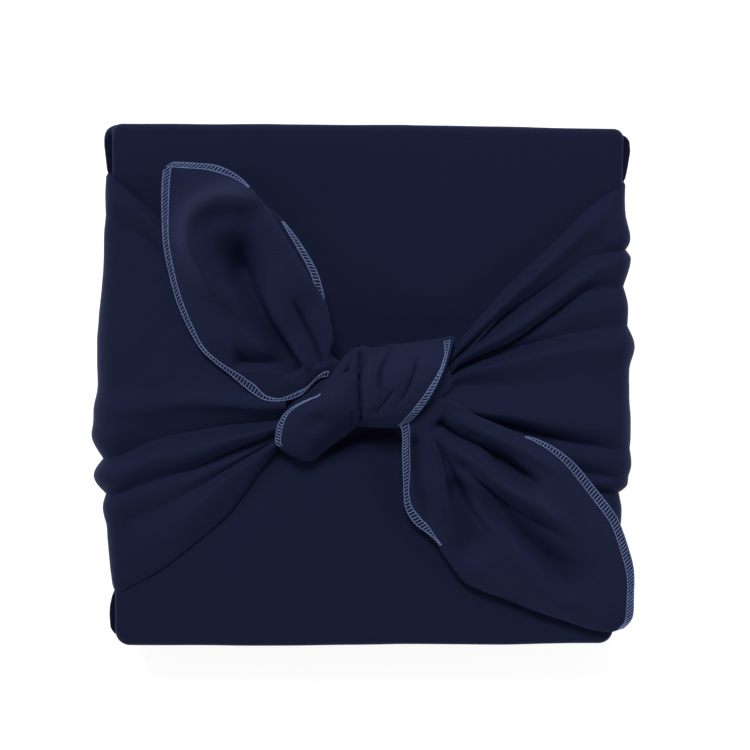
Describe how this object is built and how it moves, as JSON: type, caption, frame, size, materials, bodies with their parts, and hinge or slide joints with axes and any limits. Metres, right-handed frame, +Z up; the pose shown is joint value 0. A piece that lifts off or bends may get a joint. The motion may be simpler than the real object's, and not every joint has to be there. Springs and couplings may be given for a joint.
{
  "type": "furoshiki wrap",
  "caption": "Flat square box wrapped in a plain navy cloth, its side corners gathered over the lid and tied in a square knot, the free ends spread like leaves.",
  "frame": {"origin": "middle of the underside, on the surface that the parcel rests on", "axes": "+Z up through the lid, +X towards the tied side that the lower free end lies over, +Y towards the smooth side that the upper free end points at"},
  "size_m": [0.2334, 0.226, 0.0681],
  "materials": {
    "navy_cotton": "matt cotton twill"
  },
  "bodies": {
    "root": {"furoshiki_cloth": "navy_cotton"}
  },
  "joints": []
}
